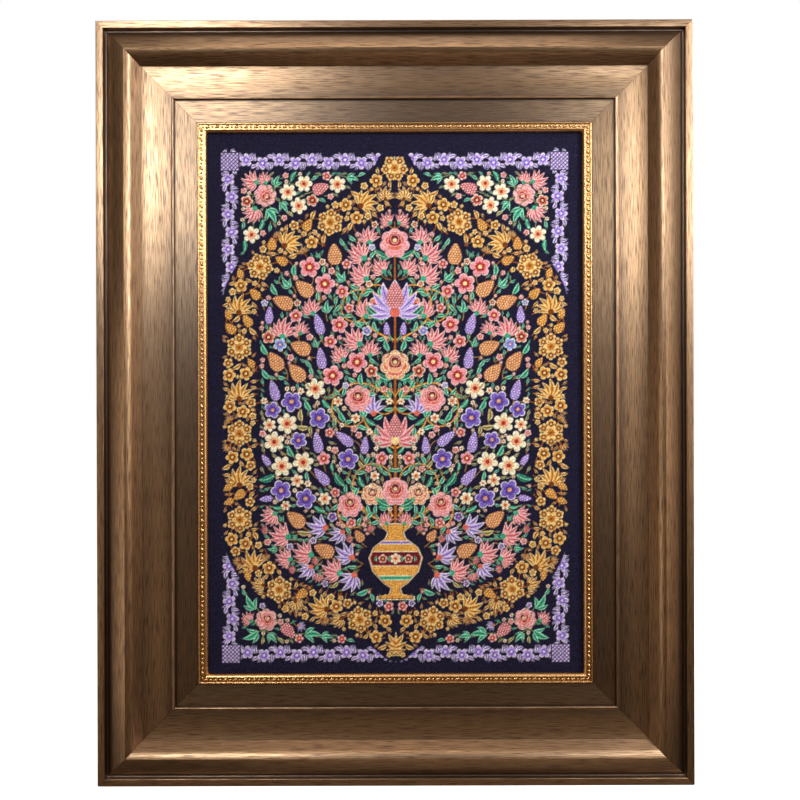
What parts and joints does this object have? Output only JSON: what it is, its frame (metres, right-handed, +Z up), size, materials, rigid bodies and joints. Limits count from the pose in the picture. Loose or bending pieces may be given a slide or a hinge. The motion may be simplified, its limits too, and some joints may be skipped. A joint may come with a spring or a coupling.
{
  "type": "pictorial pile rug in a moulded frame",
  "caption": "Upright floral pictorial pile rug in a wide bronzed moulding with a high crest and a flat inner panel, with a flat liner and a beaded gold fillet, to hang on a wall.",
  "frame": {"origin": "middle of the top rail's back face, where a wall holds the frame", "axes": "+X to the right seen from the front, -Y out of the wall towards the viewer, +Z up along the long side"},
  "size_m": [0.78, 0.0405, 1],
  "materials": {
    "bronze_moulding": "brushed bronze metal leaf under satin lacquer on a wooden moulding",
    "bronze_liner": "brushed bronze metal leaf under satin lacquer on a flat wooden slip",
    "gold_fillet": "burnished gold leaf on a carved wooden fillet",
    "rug_pile": "knotted wool and silk pile, sheared low, floral on a navy ground",
    "board": "plain brown hardboard"
  },
  "bodies": {
    "root": {"rail_top": "bronze_moulding", "rail_bottom": "bronze_moulding", "rail_left": "bronze_moulding", "rail_right": "bronze_moulding", "liner_top": "bronze_liner", "liner_bottom": "bronze_liner", "liner_left": "bronze_liner", "liner_right": "bronze_liner", "fillet_top": "gold_fillet", "fillet_bottom": "gold_fillet", "fillet_left": "gold_fillet", "fillet_right": "gold_fillet", "rug": "rug_pile", "backing_board": "board"}
  },
  "joints": []
}
